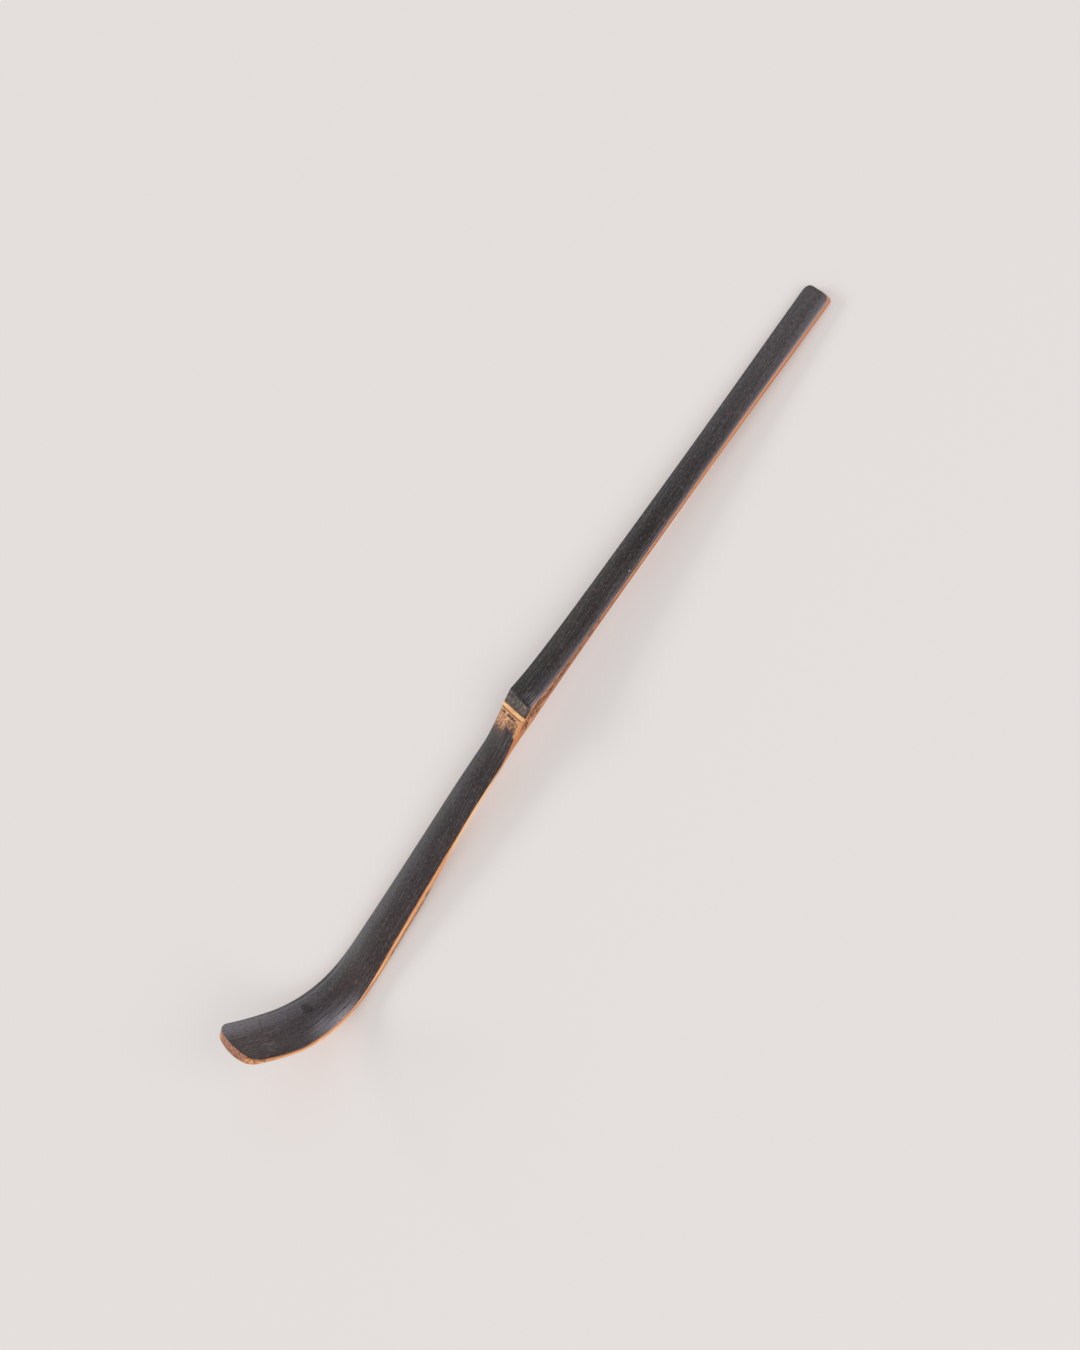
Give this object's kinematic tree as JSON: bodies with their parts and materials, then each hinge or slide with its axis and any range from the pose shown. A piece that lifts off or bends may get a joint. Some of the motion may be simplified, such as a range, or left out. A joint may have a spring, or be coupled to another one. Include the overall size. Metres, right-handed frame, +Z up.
{
  "type": "tea scoop",
  "caption": "Slender bamboo tea scoop with a dark skin, a swollen node in the middle and one end bent up into a shallow rounded bowl.",
  "frame": {"origin": "on the surface it lies on, under the middle of the scoop", "axes": "+X towards the square handle end, +Y across the strip, +Z up, out of the dark front"},
  "size_m": [0.1762, 0.0118, 0.0199],
  "materials": {
    "bamboo_wood": "planed and oiled bamboo wood, satin",
    "smoked_skin": "smoked black bamboo skin, rubbed to a soft sheen",
    "scar_cork": "bare fibrous scar, matt",
    "diaphragm_wood": "planed woody root of the inner wall, satin"
  },
  "bodies": {
    "root": {"bamboo_strip": "bamboo_wood", "handle_skin": "smoked_skin", "bowl_skin": "smoked_skin", "sheath_scar": "scar_cork", "diaphragm_root": "diaphragm_wood"}
  },
  "joints": []
}
